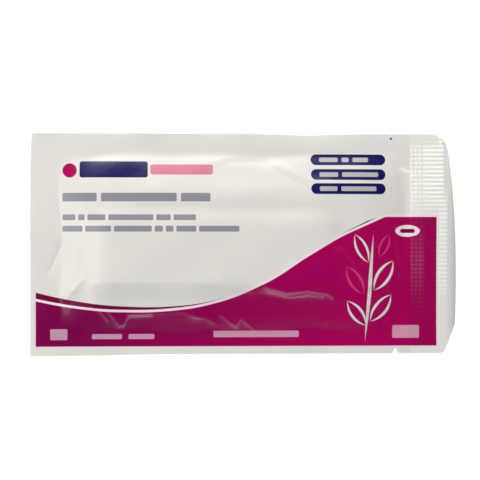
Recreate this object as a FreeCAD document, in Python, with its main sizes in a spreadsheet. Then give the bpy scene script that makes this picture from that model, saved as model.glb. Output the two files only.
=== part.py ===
"""A sealed foil pouch that holds a rapid test cassette, lying on its back.

X runs along the pouch, from the factory seal on the left to the crimped end on the right.
Y runs across it, and Z points up, with Z = 0 on the surface that the pouch lies on.
The origin is the middle of the pouch's outline, at that surface.
"""

import FreeCAD, Part
import math
import os

import Sketcher
from FreeCAD import Vector

# Driving sizes, in millimetres
SIZES = (
    ("pouch_length", 126.0, "from the factory end to the furthest point of the bowed edge"),
    ("pouch_width", 65.0, "across the pouch, from cut edge to cut edge"),
    ("film_gauge", 0.12, "thickness of one ply of foil laminate; a seal is two plies"),
    ("seal_level", 2.0, "how high the underside of the seals lies above the surface"),
    ("side_seal", 5.0, "width of the plain seal along both long edges"),
    ("factory_seal", 7.5, "width of the plain seal across the left end"),
    ("plain_strip", 0.6, "flat film between the pocket and the crimp"),
    ("dot_pitch", 1.25, "from one dot of the crimp to the next, both ways"),
    ("dot_rise", 0.35, "height of a dot above the groove round it"),
    ("dot_columns", 9, "dots along the pouch"),
    ("lip_length", 2.65, "plain lip beyond the crimp, where the edge bows out most"),
    ("lip_droop", 0.9, "how far the end of the lip curls down"),
    ("bow_radius", 290.0, "radius of the bowed right edge"),
    ("bow_low", 10.6, "how far below the middle the right edge reaches furthest"),
    ("upper_corner", 4.5, "radius of the upper right corner"),
    ("slant_height", 8.8, "height of the slanting cut at the lower right corner"),
    ("slant_depth", 3.9, "how far that cut runs in from the furthest point"),
    ("slant_shoulder", 6.0, "radius where the bowed edge turns into the slant"),
    ("slant_toe", 1.6, "radius where the slant meets the lower edge"),
    ("notch_place", 4.4, "tear notch, from the crimp to its middle"),
    ("notch_width", 2.0, "tear notch at the cut edge"),
    ("notch_depth", 1.8, "tear notch, how far it runs in"),
    ("slit_place", 5.5, "tear slit in the upper edge, from the crimp to its middle"),
    ("slit_width", 0.4, "tear slit at the cut edge"),
    ("slit_depth", 1.6, "tear slit, how far it runs in"),
    ("belly_rise", 3.0, "how far the taut film rises above the seals"),
    ("slope_left", 16.0, "run of the upper film's slope at the factory seal"),
    ("slope_right", 20.0, "run of its slope at the crimp"),
    ("slope_upper", 15.0, "run of its slope at the upper side seal"),
    ("slope_lower", 16.0, "run of its slope at the lower side seal"),
    ("under_slope", 11.0, "run of the lower film's slope, on all four sides"),
    ("press_flat", 0.3, "how much of the lower film the surface presses flat"),
    ("cassette_length", 70.0, "the cassette under the film"),
    ("cassette_width", 21.0, "the cassette under the film"),
    ("cassette_left", 11.5, "from the factory seal to the cassette"),
    ("cassette_low", 15.0, "from the lower side seal to the cassette"),
    ("cassette_show", 1.4, "how far the cassette lifts the film above the belly"),
    ("dropper_length", 58.0, "the dropper beside the cassette"),
    ("dropper_width", 7.0, "the dropper beside the cassette"),
    ("dropper_left", 24.0, "from the factory seal to the dropper"),
    ("dropper_gap", 2.5, "between the cassette and the dropper"),
    ("dropper_show", 0.9, "how far the dropper lifts the film above the belly"),
    ("edge_softness", 2.4, "over how much the film rounds off what lies under it"),
    ("fold_rise", 0.45, "height of a full fold in the upper film"),
    ("fold_width", 1.9, "half the width of a fold in the upper film"),
)

# Folds in the upper film: start and end as shares of the pocket's half length and half width,
# measured from its middle, and each fold's share of the full rise
FOLDS = (
    ((-0.15, 0.86), (0.24, 0.82), 0.6),
    ((0.22, 0.84), (0.56, 0.62), 0.6),
    ((0.17, -0.47), (0.57, -0.58), 0.9),
    ((0.60, -0.10), (0.92, -0.86), 1.0),
    ((-0.79, -0.64), (-0.62, -0.90), 0.7),
    ((-0.60, -0.78), (-0.21, -0.76), 0.6),
    ((-0.21, -0.76), (0.02, -0.92), 0.8),
    ((-0.97, 0.87), (-0.94, 0.07), 0.8),
    ((-0.94, -0.10), (-0.84, -0.80), 0.9),
)

# Points at which each film's height is worked out, along and across the pocket
UPPER_GRID = (70, 36)
LOWER_GRID = (30, 18)

SEWING_GAP = 0.001  # edges closer than this are one edge

# How a sketch's constraints name the origin and the points of an edge
ORIGIN, START, END, CENTRE = -1, 1, 2, 3


def make_sheet(doc):
    """Puts every driving size into a spreadsheet, under its own name."""
    sheet = doc.addObject("Spreadsheet::Sheet", "Sizes")
    for row, (name, value, note) in enumerate(SIZES, start=1):
        sheet.set(f"A{row}", name)
        sheet.set(f"B{row}", str(value))
        sheet.set(f"C{row}", note)
        sheet.setAlias(f"B{row}", name)
    doc.recompute()
    return sheet


doc = FreeCAD.newDocument("sealed_test_pouch")
sheet = make_sheet(doc)


def size(name):
    return float(sheet.get(name))


def new_body(name):
    return doc.addObject("PartDesign::Body", name)


def new_sketch(body, role, name):
    """A sketch on one of the body's own origin planes."""
    plane = [feature for feature in body.Origin.OriginFeatures if feature.Role == role][0]
    sketch = body.newObject("Sketcher::SketchObject", name)
    sketch.AttachmentSupport = [(plane, "")]
    sketch.MapMode = "FlatFace"
    return sketch


def close_loop(sketch, edges):
    """Joins each edge's end to the next edge's start, round the loop."""
    for edge, following in zip(edges, edges[1:] + edges[:1]):
        sketch.addConstraint(Sketcher.Constraint("Coincident", edge, END, following, START))


def tie(sketch, kind, edge, point, value, expression):
    """Ties a point of an edge to a distance from the origin, written with the sheet's names."""
    index = sketch.addConstraint(Sketcher.Constraint(kind, ORIGIN, START, edge, point, value))
    sketch.setExpression(f"Constraints[{index}]", expression)


def line(sketch, start, end):
    """Adds a straight edge and returns its number."""
    return sketch.addGeometry(Part.LineSegment(start, end))


def draw_corners(sketch, corners):
    """Draws straight edges between corners, each given as two (value, expression) pairs."""
    points = [Vector(x, y, 0) for (x, _), (y, _) in corners]
    edges = [line(sketch, *ends) for ends in zip(points, points[1:] + points[:1])]
    close_loop(sketch, edges)
    for edge, ((x, x_text), (y, y_text)) in zip(edges, corners):
        tie(sketch, "DistanceX", edge, START, x, x_text)
        tie(sketch, "DistanceY", edge, START, y, y_text)


def new_pad(body, sketch, name, length_text, midplane):
    pad = body.newObject("PartDesign::Pad", name)
    pad.Profile = sketch
    pad.Midplane = midplane
    pad.setExpression("Length", length_text)
    body.Tip = pad
    return pad


# Places that several sub-parts share, as values and as the sheet's expressions
half_length = size("pouch_length") / 2
half_width = size("pouch_width") / 2
crimp_length = size("dot_columns") * size("dot_pitch")
crimp_end = half_length - size("lip_length")
crimp_start = crimp_end - crimp_length
seal_thick = 2 * size("film_gauge")
seal_top = size("seal_level") + seal_thick
pocket_left = size("factory_seal") - half_length
pocket_right = crimp_start - size("plain_strip")
pocket_upper = half_width - size("side_seal")
pocket_lower = -pocket_upper

HALF_LENGTH = "Sizes.pouch_length / 2"
HALF_WIDTH = "Sizes.pouch_width / 2"
CRIMP_LENGTH = "Sizes.dot_columns * Sizes.dot_pitch"
CRIMP_END = f"({HALF_LENGTH} - Sizes.lip_length)"
CRIMP_START = f"({CRIMP_END} - {CRIMP_LENGTH})"
SEAL_THICK = "2 * Sizes.film_gauge"
SEAL_TOP = f"(Sizes.seal_level + {SEAL_THICK})"
POCKET_LEFT = f"(Sizes.factory_seal - {HALF_LENGTH})"
POCKET_RIGHT = f"({CRIMP_START} - Sizes.plain_strip)"
DOT_ROWS = "(ceil(Sizes.pouch_width / Sizes.dot_pitch) + 1)"  # the rows run off both edges
BLOCK_HEIGHT = "Sizes.pouch_width"  # as tall as the pouch is wide, far above its top


def outline_block():
    """A tall block with the pouch's outline: square factory end, bowed and rounded right end."""
    body = new_body("outline_block")
    sketch = new_sketch(body, "XY_Plane", "outline")
    radius = size("bow_radius")
    centre = Vector(half_length - radius, -size("bow_low"), 0)

    def on_bow(y):
        return Vector(centre.x + math.sqrt(radius**2 - (y - centre.y) ** 2), y, 0)

    upper_left = Vector(-half_length, half_width, 0)
    lower_left = Vector(-half_length, -half_width, 0)
    toe = Vector(half_length - size("slant_depth"), -half_width, 0)
    shoulder = on_bow(size("slant_height") - half_width)
    upper_right = on_bow(half_width)
    angles = [math.atan2(end.y - centre.y, end.x - centre.x) for end in (shoulder, upper_right)]
    circle = Part.Circle(centre, Vector(0, 0, 1), radius)
    factory_end = line(sketch, upper_left, lower_left)
    lower_edge = line(sketch, lower_left, toe)
    slant = line(sketch, toe, shoulder)
    bow = sketch.addGeometry(Part.ArcOfCircle(circle, *angles))
    upper_edge = line(sketch, upper_right, upper_left)
    close_loop(sketch, [factory_end, lower_edge, slant, bow, upper_edge])
    for edge, y, y_text in (
        (factory_end, half_width, HALF_WIDTH),
        (lower_edge, -half_width, f"-{HALF_WIDTH}"),
    ):
        tie(sketch, "DistanceX", edge, START, -half_length, f"-{HALF_LENGTH}")
        tie(sketch, "DistanceY", edge, START, y, y_text)
    tie(sketch, "DistanceX", slant, START, toe.x, f"{HALF_LENGTH} - Sizes.slant_depth")
    tie(sketch, "DistanceY", slant, START, toe.y, f"-{HALF_WIDTH}")
    tie(sketch, "DistanceX", bow, CENTRE, centre.x, f"{HALF_LENGTH} - Sizes.bow_radius")
    tie(sketch, "DistanceY", bow, CENTRE, centre.y, "-Sizes.bow_low")
    tie(sketch, "DistanceY", bow, START, shoulder.y, f"Sizes.slant_height - {HALF_WIDTH}")
    tie(sketch, "DistanceY", bow, END, half_width, HALF_WIDTH)
    curve = sketch.addConstraint(Sketcher.Constraint("Radius", bow, radius))
    sketch.setExpression(f"Constraints[{curve}]", "Sizes.bow_radius")
    new_pad(body, sketch, "outline_pad", BLOCK_HEIGHT, midplane=False)
    doc.recompute()
    round_corner(body, "upper_corner", upper_right)
    round_corner(body, "slant_shoulder", shoulder)
    round_corner(body, "slant_toe", toe)
    tear_cut(body, "notch", -1)
    tear_cut(body, "slit", 1)
    return body


def round_corner(body, name, corner):
    """Rounds the block's upright edge nearest to a corner of the outline."""
    base = body.Tip

    def distance(number):
        middle = base.Shape.Edges[number].CenterOfMass
        return math.hypot(middle.x - corner.x, middle.y - corner.y)

    upright = [n for n, edge in enumerate(base.Shape.Edges) if edge.BoundBox.ZLength > seal_top]
    nearest = min(upright, key=distance)
    fillet = body.newObject("PartDesign::Fillet", name + "_round")
    fillet.Base = (base, [f"Edge{nearest + 1}"])
    fillet.setExpression("Radius", f"Sizes.{name}")
    body.Tip = fillet
    doc.recompute()


def tear_cut(body, name, side):
    """Cuts a pointed notch into a long edge; side is 1 for the upper edge and -1 for the lower."""
    middle = crimp_start - size(name + "_place")
    half = size(name + "_width") / 2
    edge = side * half_width
    tip = side * (half_width - size(name + "_depth"))
    middle_text = f"{CRIMP_START} - Sizes.{name}_place"
    half_text = f"Sizes.{name}_width / 2"
    edge_text = f"{side} * {HALF_WIDTH}"
    tip_text = f"{side} * ({HALF_WIDTH} - Sizes.{name}_depth)"
    sketch = new_sketch(body, "XY_Plane", name + "_outline")
    draw_corners(
        sketch,
        (
            ((middle - half, f"{middle_text} - {half_text}"), (edge, edge_text)),
            ((middle + half, f"{middle_text} + {half_text}"), (edge, edge_text)),
            ((middle, middle_text), (tip, tip_text)),
        ),
    )
    cut = body.newObject("PartDesign::Pocket", name)
    cut.Profile = sketch
    cut.Reversed = True
    cut.setExpression("Length", BLOCK_HEIGHT)
    body.Tip = cut
    doc.recompute()


def toothed_bar(name, role, count_text, depth_text):
    """A bar with a row of triangular teeth on top, which a pattern repeats along it."""
    body = new_body(name)
    pitch = size("dot_pitch")
    floor = -size("seal_level")
    tooth = new_sketch(body, role, name + "_tooth")
    draw_corners(
        tooth,
        (
            ((0.0, "0"), (0.0, "0")),
            ((0.0, "0"), (floor, "-Sizes.seal_level")),
            ((pitch, "Sizes.dot_pitch"), (floor, "-Sizes.seal_level")),
            ((pitch, "Sizes.dot_pitch"), (0.0, "0")),
            ((pitch / 2, "Sizes.dot_pitch / 2"), (size("dot_rise"), "Sizes.dot_rise")),
        ),
    )
    pad = new_pad(body, tooth, name + "_pad", depth_text, midplane=True)
    doc.recompute()
    row = body.newObject("PartDesign::LinearPattern", name + "_row")
    row.Originals = [pad]
    row.Direction = (tooth, ["H_Axis"])
    row.setExpression("Length", f"({count_text} - 1) * Sizes.dot_pitch")
    row.setExpression("Occurrences", count_text)
    body.Tip = row
    return body


def trimmed(name, stock, block):
    """What the outline block leaves of a piece of stock."""
    common = doc.addObject("Part::Common", name)
    common.Base = stock
    common.Tool = block
    return common


def crimp_band(block):
    """The crimp of the fill end, a field of four-sided dots that both plies share.

    Where a bar toothed along the pouch crosses one toothed across it, what they share is the
    field of dots. The same field, one seal's thickness lower, is taken away beneath it, so that
    the underside follows the top.
    """
    along = toothed_bar("teeth_along", "XZ_Plane", "Sizes.dot_columns", f"{DOT_ROWS} * Sizes.dot_pitch")
    across = toothed_bar("teeth_across", "YZ_Plane", DOT_ROWS, CRIMP_LENGTH)
    along.setExpression("Placement.Base.x", CRIMP_START)
    along.setExpression("Placement.Base.z", SEAL_TOP)
    across.setExpression("Placement.Base.x", f"{CRIMP_START} + {CRIMP_LENGTH} / 2")
    across.setExpression("Placement.Base.y", f"-{DOT_ROWS} * Sizes.dot_pitch / 2")
    across.setExpression("Placement.Base.z", SEAL_TOP)
    dots = doc.addObject("Part::Common", "dot_field")
    dots.Base = along
    dots.Tool = trimmed("trimmed_teeth", across, block)
    beneath = doc.addObject("Part::Compound", "dot_field_beneath")
    beneath.Links = [dots]
    beneath.setExpression("Placement.Base.z", f"-{SEAL_THICK}")
    band = doc.addObject("Part::Cut", "crimp_band")
    band.Base = dots
    band.Tool = beneath
    return band


def box(name, x_text, y_text, length_text, width_text):
    """A box as thick as a seal, at the seals' level."""
    block = doc.addObject("Part::Box", name)
    block.setExpression("Length", length_text)
    block.setExpression("Width", width_text)
    block.setExpression("Height", SEAL_THICK)
    block.setExpression("Placement.Base.x", x_text)
    block.setExpression("Placement.Base.y", y_text)
    block.setExpression("Placement.Base.z", "Sizes.seal_level")
    return block


def seal_frame():
    """The two plies sealed flat to each other round the pocket, up to the crimp."""
    length = f"{CRIMP_START} + {HALF_LENGTH}"
    inner_width = "(Sizes.pouch_width - 2 * Sizes.side_seal)"
    inner_length = f"{POCKET_RIGHT} - {POCKET_LEFT}"
    frame = doc.addObject("Part::Cut", "seal_frame")
    frame.Base = box("seal_plate", f"-{HALF_LENGTH}", f"-{HALF_WIDTH}", length, "Sizes.pouch_width")
    frame.Tool = box("pocket_window", POCKET_LEFT, f"-{inner_width} / 2", inner_length, inner_width)
    return frame


def curled_lip():
    """The plain lip beyond the crimp: two arcs round one centre, a seal's thickness apart."""
    body = new_body("curled_lip")
    sketch = new_sketch(body, "XZ_Plane", "lip_section")
    reach = size("lip_length")
    droop = size("lip_droop")
    under = (reach**2 + droop**2) / (2 * droop)
    over = under + seal_thick
    centre = Vector(crimp_end, size("seal_level") - under, 0)
    end_x = half_length + seal_thick

    def arc(radius):
        circle = Part.Circle(centre, Vector(0, 0, 1), radius)
        angle = math.acos((end_x - centre.x) / radius)
        return sketch.addGeometry(Part.ArcOfCircle(circle, angle, math.pi / 2))

    def arc_end(radius):
        return Vector(end_x, centre.y + math.sqrt(radius**2 - (end_x - centre.x) ** 2), 0)

    lower_arc = arc(under)
    root = line(sketch, Vector(crimp_end, size("seal_level"), 0), Vector(crimp_end, seal_top, 0))
    upper_arc = arc(over)
    tip = line(sketch, arc_end(over), arc_end(under))
    for joint in (
        (lower_arc, END, root, START),
        (root, END, upper_arc, END),
        (upper_arc, START, tip, START),
        (tip, END, lower_arc, START),
        (lower_arc, CENTRE, upper_arc, CENTRE),
    ):
        sketch.addConstraint(Sketcher.Constraint("Coincident", *joint))
    under_text = "(pow(Sizes.lip_length; 2) + pow(Sizes.lip_droop; 2)) / (2 * Sizes.lip_droop)"
    tie(sketch, "DistanceX", lower_arc, CENTRE, centre.x, CRIMP_END)
    tie(sketch, "DistanceY", lower_arc, CENTRE, centre.y, f"Sizes.seal_level - {under_text}")
    for point, level, level_text in (
        (START, size("seal_level"), "Sizes.seal_level"),
        (END, seal_top, SEAL_TOP),
    ):
        tie(sketch, "DistanceX", root, point, crimp_end, CRIMP_END)
        tie(sketch, "DistanceY", root, point, level, level_text)
        tie(sketch, "DistanceX", tip, point, end_x, f"{HALF_LENGTH} + {SEAL_THICK}")
    new_pad(body, sketch, "lip_pad", "Sizes.pouch_width", midplane=True)
    return body


def rise(distance, run):
    """0 at a seal's inner edge, steepest there, and 1 where the slope's run ends."""
    return math.sin(math.pi / 2 * max(0.0, min(1.0, distance / run)))


def lifted(x, y, name, lower_edge):
    """1 over a thing under the film, falling softly to 0 round its edges."""
    soft = size("edge_softness")
    left = pocket_left + size(name + "_left")
    right = left + size(name + "_length")
    upper_edge = lower_edge + size(name + "_width")
    along = math.tanh((x - left) / soft) - math.tanh((x - right) / soft)
    across = math.tanh((y - lower_edge) / soft) - math.tanh((y - upper_edge) / soft)
    return along * across / 4


def in_pocket(share):
    """A place given as shares of the pocket's half length and half width."""
    middle = (pocket_left + pocket_right) / 2
    reach = (pocket_right - pocket_left) / 2
    return middle + share[0] * reach, share[1] * pocket_upper


def folded(x, y, start, end, share):
    """A rounded ridge along the line from start to end, which dies out beyond both."""
    run_x = end[0] - start[0]
    run_y = end[1] - start[1]
    length = math.hypot(run_x, run_y)
    along = ((x - start[0]) * run_x + (y - start[1]) * run_y) / length
    aside = ((y - start[1]) * run_x - (x - start[0]) * run_y) / length
    beyond = max(0.0, -along, along - length)
    away = math.hypot(aside, beyond) / size("fold_width")
    return share * size("fold_rise") * math.exp(-away**2)


def upper_height(x, y):
    """The upper film: a belly between four slopes, lifted by the contents and by folds."""
    slopes = rise(x - pocket_left, size("slope_left"))
    slopes *= rise(pocket_right - x, size("slope_right"))
    slopes *= rise(pocket_upper - y, size("slope_upper"))
    slopes *= rise(y - pocket_lower, size("slope_lower"))
    cassette_low = pocket_lower + size("cassette_low")
    dropper_low = cassette_low + size("cassette_width") + size("dropper_gap")
    height = size("belly_rise")
    height += size("cassette_show") * lifted(x, y, "cassette", cassette_low)
    height += size("dropper_show") * lifted(x, y, "dropper", dropper_low)
    for start, end, share in FOLDS:
        height += folded(x, y, in_pocket(start), in_pocket(end), share)
    return seal_top + slopes * height


def lower_height(x, y):
    """The lower film: four slopes down to a little below the surface, which presses it flat."""
    slopes = 1.0
    for distance in (x - pocket_left, pocket_right - x, pocket_upper - y, y - pocket_lower):
        slopes *= rise(distance, size("under_slope"))
    return size("seal_level") - slopes * (size("seal_level") + size("press_flat"))


def film_surface(height, grid):
    """A smooth surface through the heights at a grid of points over the pocket."""
    columns, rows = grid
    points = []
    for column in range(columns + 1):
        x = pocket_left + (pocket_right - pocket_left) * column / columns
        section = []
        for row in range(rows + 1):
            y = pocket_lower + (pocket_upper - pocket_lower) * row / rows
            section.append(Vector(x, y, height(x, y)))
        points.append(section)
    surface = Part.BSplineSurface()
    surface.interpolate(points)
    return surface.toShape()


def lower_bulge():
    """The lower film, closed by a flat top at the seals' level."""
    corners = [
        Vector(pocket_left, pocket_lower, size("seal_level")),
        Vector(pocket_right, pocket_lower, size("seal_level")),
        Vector(pocket_right, pocket_upper, size("seal_level")),
        Vector(pocket_left, pocket_upper, size("seal_level")),
    ]
    lid = Part.Face(Part.makePolygon(corners + corners[:1]))
    bulge = doc.addObject("Part::Feature", "lower_bulge")
    bulge.Shape = closed_solid([film_surface(lower_height, LOWER_GRID), lid])
    return bulge


def closed_solid(faces):
    """Sews faces that meet edge to edge into one closed solid."""
    shell = Part.makeShell(faces)
    shell.sewShape(SEWING_GAP)
    solid = Part.makeSolid(shell)
    if solid.Volume < 0:
        solid.reverse()
    return solid


def over_pocket(face):
    """Whether a face lies wholly within the pocket's rectangle, seen from above."""
    bounds = face.BoundBox
    along = bounds.XMin > pocket_left - SEWING_GAP and bounds.XMax < pocket_right + SEWING_GAP
    across = bounds.YMin > pocket_lower - SEWING_GAP and bounds.YMax < pocket_upper + SEWING_GAP
    return along and across


def foil_pouch():
    """The flat film, with the upper and the lower film of the filled pocket in its window."""
    block = outline_block()
    flat_film = doc.addObject("Part::MultiFuse", "flat_film")
    flat_film.Shapes = [
        trimmed("trimmed_frame", seal_frame(), block),
        crimp_band(block),
        trimmed("trimmed_lip", curled_lip(), block),
    ]
    rested = trimmed("rested_bulge", lower_bulge(), block)
    doc.recompute()
    faces = [face for face in flat_film.Shape.Faces if not over_pocket(face)]
    faces += [face for face in rested.Shape.Faces if face.BoundBox.ZMin < size("seal_level") - SEWING_GAP]
    faces.append(film_surface(upper_height, UPPER_GRID))
    pouch = doc.addObject("Part::Feature", "foil_pouch")
    pouch.Shape = closed_solid(faces)
    return pouch


def check_and_export(parts):
    """Stops on a failed object or a bad shape, then writes one STEP file for each part."""
    doc.recompute()
    for item in doc.Objects:
        if "Invalid" in item.State or "Error" in item.State:
            raise RuntimeError(f"{item.Label} did not build: {item.State}")
    os.makedirs("parts", exist_ok=True)
    for part in parts:
        if part.Shape.isNull() or not part.Shape.isValid():
            raise RuntimeError(f"{part.Label} has no sound shape")
        if len(part.Shape.Solids) != 1:
            raise RuntimeError(f"{part.Label} is not one solid")
        part.Shape.exportStep(f"parts/{part.Label}.step")


check_and_export([foil_pouch()])
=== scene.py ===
"""A sealed, printed foil pouch with a rapid test cassette inside it, lying on its back.

X runs along the pouch from the factory seal to the crimped end, Y runs across it and Z points up.
Shapes are worked out in millimetres, and go into the meshes in metres.
"""

import math

import bpy
import numpy as np
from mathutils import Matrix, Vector


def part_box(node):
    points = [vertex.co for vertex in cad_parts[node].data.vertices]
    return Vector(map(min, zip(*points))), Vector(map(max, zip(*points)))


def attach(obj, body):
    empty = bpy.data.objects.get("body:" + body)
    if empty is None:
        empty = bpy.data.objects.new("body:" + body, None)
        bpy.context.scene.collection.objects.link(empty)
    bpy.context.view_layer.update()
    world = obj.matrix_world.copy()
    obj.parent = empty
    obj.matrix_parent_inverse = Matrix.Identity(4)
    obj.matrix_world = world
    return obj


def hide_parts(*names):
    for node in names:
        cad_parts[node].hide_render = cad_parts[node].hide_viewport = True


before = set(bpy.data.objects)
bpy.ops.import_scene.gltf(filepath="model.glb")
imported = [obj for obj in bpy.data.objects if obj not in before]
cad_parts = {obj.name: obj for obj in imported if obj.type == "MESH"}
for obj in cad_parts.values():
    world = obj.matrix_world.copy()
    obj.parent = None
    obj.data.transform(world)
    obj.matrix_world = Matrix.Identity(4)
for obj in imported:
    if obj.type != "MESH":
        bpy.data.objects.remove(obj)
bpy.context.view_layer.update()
pouch_low, pouch_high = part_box("foil_pouch")

MM = 0.001  # metres in a millimetre

# The pouch's outline, from the frame
half_length = (pouch_high.x - pouch_low.x) / 2 / MM
half_width = (pouch_high.y - pouch_low.y) / 2 / MM

# Seals and crimp
FILM = 0.24  # two plies
SEAL_LEVEL = 2.0
SEAL_TOP = SEAL_LEVEL + FILM
SIDE_SEAL = 5.0
FACTORY_SEAL = 7.5
PLAIN_STRIP = 0.6
DOT_PITCH = 1.25
DOT_RISE = 0.30
DOT_COLUMNS = 9
LIP_LENGTH = 2.65
LIP_DROOP = 0.9

# Right end of the outline
BOW_RADIUS = 290.0
BOW_LOW = 10.6
UPPER_CORNER = 5.2
SLANT_HEIGHT = 8.8
SLANT_DEPTH = 3.9
SLANT_SHOULDER = 6.0
SLANT_TOE = 1.6
SHOULDER_REACH = 3.0  # how far above the shoulder the bow starts
CORNER_CLEAR = 1.0  # how far below the corner it ends
BOW_STEPS = 60
CORNER_STEPS = 24

# Tear notch and tear slit: place before the crimp, width at the edge, depth
NOTCH = (4.4, 2.0, 1.8)
SLIT = (5.5, 0.14, 1.3)
TEAR_REACH = 4.0  # how far in the film gives way round them

# The filled pocket
BELLY_RISE = 3.0
SLOPE_LEFT = 16.0
SLOPE_RIGHT = 20.0
SLOPE_UPPER = 15.0
SLOPE_LOWER = 16.0
UNDER_SLOPE = 11.0
PRESS_FLAT = 0.3
EDGE_SOFTNESS = 2.4
END_SOFTNESS = 4.0
SEAL_EASE = 2.0  # over how much the film lifts off a seal
SEAL_WAVER = 0.7  # how far the line where it lifts off wanders in
SHORT_WAVER = 4.3  # run along the seal for one radian of each wave of that line
LONG_WAVER = 9.7
WAVER_PHASES = (1.0, 2.2, 0.4, 3.1)  # at the left, right, upper and lower seal
# Things under the film: place from the pocket's lower left corner, size, how far they show
CASSETTE = {"left": 11.5, "low": 13.6, "length": 70.0, "width": 22.4, "show": 1.35}
DROPPER = {"left": 24.0, "low": 38.5, "length": 58.0, "width": 7.0, "show": 0.55}

crimp_end = half_length - LIP_LENGTH
crimp_start = crimp_end - DOT_COLUMNS * DOT_PITCH
pocket_left = FACTORY_SEAL - half_length
pocket_right = crimp_start - PLAIN_STRIP
pocket_upper = half_width - SIDE_SEAL
pocket_lower = -pocket_upper


# Outline


def unit(vector):
    return vector / np.linalg.norm(vector)


def rounded(before, corner, after, radius, steps=10):
    """Points of the arc that rounds a corner, tangent to the lines to the points beside it."""
    before, corner, after = (np.array(point, float) for point in (before, corner, after))
    to_before = unit(before - corner)
    to_after = unit(after - corner)
    half_angle = math.acos(np.dot(to_before, to_after)) / 2
    centre = corner + unit(to_before + to_after) * radius / math.sin(half_angle)
    start = corner + to_before * radius / math.tan(half_angle) - centre
    end = corner + to_after * radius / math.tan(half_angle) - centre
    turn = math.pi - 2 * half_angle
    share = np.linspace(0, 1, steps)[:, None]
    return centre + (np.sin((1 - share) * turn) * start + np.sin(share * turn) * end) / math.sin(turn)


def on_bow(y):
    """The bowed right edge: a point of the large arc at height y."""
    return half_length - BOW_RADIUS + np.sqrt(BOW_RADIUS**2 - (y + BOW_LOW) ** 2), y


def right_edge():
    """The right end of the outline from the lower edge up: toe, slant, shoulder, bow, corner."""
    toe = (half_length - SLANT_DEPTH, -half_width)
    shoulder = on_bow(SLANT_HEIGHT - half_width)
    bow_start = shoulder[1] + SHOULDER_REACH
    bow = np.linspace(bow_start, half_width - UPPER_CORNER - CORNER_CLEAR, BOW_STEPS)
    return np.vstack((
        rounded((0.0, -half_width), toe, shoulder, SLANT_TOE),
        rounded(toe, shoulder, on_bow(bow_start), SLANT_SHOULDER),
        np.stack(on_bow(bow), axis=1),
        rounded(on_bow(half_width - UPPER_CORNER), on_bow(half_width), (0.0, half_width), UPPER_CORNER,
                CORNER_STEPS),
    ))


RIGHT_EDGE = right_edge()


def reach_right(y):
    """Where the outline ends on the right, at each height y."""
    return np.interp(y, RIGHT_EDGE[:, 1], RIGHT_EDGE[:, 0])


def tear_depth(x, tear):
    """How deep a pointed cut runs in from the edge: full at its middle, 0 at half its width."""
    place, width, depth = tear
    return depth * np.clip(1 - np.abs(x - (crimp_start - place)) / (width / 2), 0, 1)


LEAN_IN = 0.6  # how far the upper left corner leans in
LEAN_REACH = 3.0  # over about this height
UPPER_SAG = 0.4
UPPER_SAG_PLACE = 18.0
UPPER_SAG_WIDTH = 11.0
LOWER_SAG = 0.45
LOWER_SAG_PLACE = -36.0
LOWER_SAG_RUN = 9.0


def upper_sag(x):
    """How far the upper edge dips in: a bell curve round its middle right."""
    return UPPER_SAG * np.exp(-(((x - UPPER_SAG_PLACE) / UPPER_SAG_WIDTH) ** 2))


def lower_sag(x):
    """How far the lower edge stands in or, towards the left, out: a smooth step."""
    return LOWER_SAG * (np.tanh((x - LOWER_SAG_PLACE) / LOWER_SAG_RUN) - 1) / 2


# Heights of the two films


def rise(distance, run):
    """A quarter sine wave, 0 at the seal and 1 where the run ends, eased off where it starts."""
    inside = np.clip(distance, 0, run)
    return np.sin(math.pi / 2 * inside / run) * np.tanh(inside / SEAL_EASE)


def waver(along, phase):
    """How far in the film lifts off a seal: two sine waves along it, added up."""
    short = np.sin(along / SHORT_WAVER + phase)
    long = np.sin(along / LONG_WAVER + 2 * phase)
    return SEAL_WAVER * (1 + (short + long) / 2)


def lifted(x, y, thing):
    """1 over a thing under the film, falling softly to 0: steps along times steps across."""
    left = pocket_left + thing["left"]
    low = pocket_lower + thing["low"]
    along = np.tanh((x - left) / END_SOFTNESS) - np.tanh((x - left - thing["length"]) / END_SOFTNESS)
    across = np.tanh((y - low) / EDGE_SOFTNESS) - np.tanh((y - low - thing["width"]) / EDGE_SOFTNESS)
    return along * across / 4


def distance_to(x, y, start, end):
    """Distance from the line from start to end, and how far along it, from 0 to 1."""
    run = np.subtract(end, start)
    along = ((x - start[0]) * run[0] + (y - start[1]) * run[1]) / np.dot(run, run)
    along = np.clip(along, 0, 1)
    return np.hypot(x - start[0] - along * run[0], y - start[1] - along * run[1]), along


FOLD_RISE = 0.45
FOLD_WIDTH = 1.9
# Soft folds: start, end, share of the rise
FOLDS = (
    ((-11.3, 23.7), (9.0, 22.6), 0.25),
    ((7.9, 23.1), (25.6, 17.1), 0.4),
    ((5.3, -12.9), (26.1, -16.0), 0.4),
    ((27.7, -2.8), (44.3, -23.7), 1.0),
    ((-44.6, -17.6), (-35.7, -24.8), 0.7),
    ((-34.7, -21.5), (-14.4, -20.9), 0.6),
    ((-14.4, -20.9), (-2.5, -25.3), 0.8),
    ((-54.0, 24.0), (-52.4, 2.0), 0.8),
    ((-50.0, -2.0), (-51.5, -9.0), 0.7),
)


def folded(x, y):
    """Soft ridges: each a bell curve of the distance from its line."""
    height = np.zeros_like(x)
    for start, end, share in FOLDS:
        away, _ = distance_to(x, y, start, end)
        height += share * FOLD_RISE * np.exp(-((away / FOLD_WIDTH) ** 2))
    return height


# Slow waves of the slack film: height, and the run along and across for one radian
WAVES = ((0.10, 3.1, 5.3), (0.08, 4.7, -3.3), (0.05, 1.9, 7.1))


def waved(x, y):
    """Slow waves of the slack film: sine waves in three directions."""
    return sum(height * np.sin(x / along + y / across) for height, along, across in WAVES)


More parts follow.
